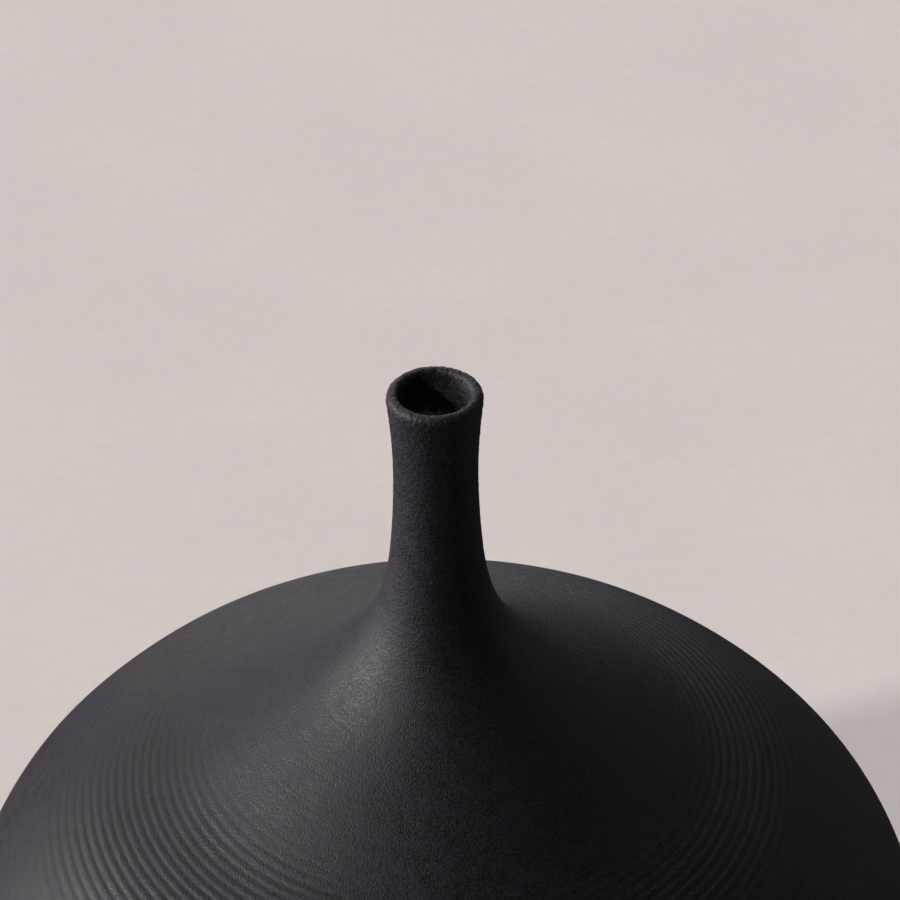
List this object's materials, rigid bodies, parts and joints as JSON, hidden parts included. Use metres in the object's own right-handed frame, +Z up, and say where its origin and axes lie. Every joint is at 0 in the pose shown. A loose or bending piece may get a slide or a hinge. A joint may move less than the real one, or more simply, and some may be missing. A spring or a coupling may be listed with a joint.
{
  "type": "bottle vase",
  "caption": "Stoneware bottle vase with a wide low shoulder, a slender flared neck and a narrow mouth for a single stem.",
  "frame": {"origin": "centre of the circle that the foot ring stands on, on the table surface", "axes": "+Z up along the vase's axis of rotation, out of the mouth; +X to the right and +Y away from a viewer at the front"},
  "size_m": [0.24, 0.24, 0.2586],
  "materials": {
    "black_stoneware": "unglazed matte black stoneware with fine sandy grog and turning rings",
    "joining_slip": "matte black slip, fired with the clay",
    "brown_glaze": "thin, uneven olive brown liner glaze, satin"
  },
  "bodies": {
    "root": {"neck": "black_stoneware", "shoulder": "black_stoneware", "bowl": "black_stoneware", "foot_ring": "black_stoneware", "neck_slip": "joining_slip", "belly_slip": "joining_slip", "foot_slip": "joining_slip", "inner_glaze": "brown_glaze"}
  },
  "joints": []
}
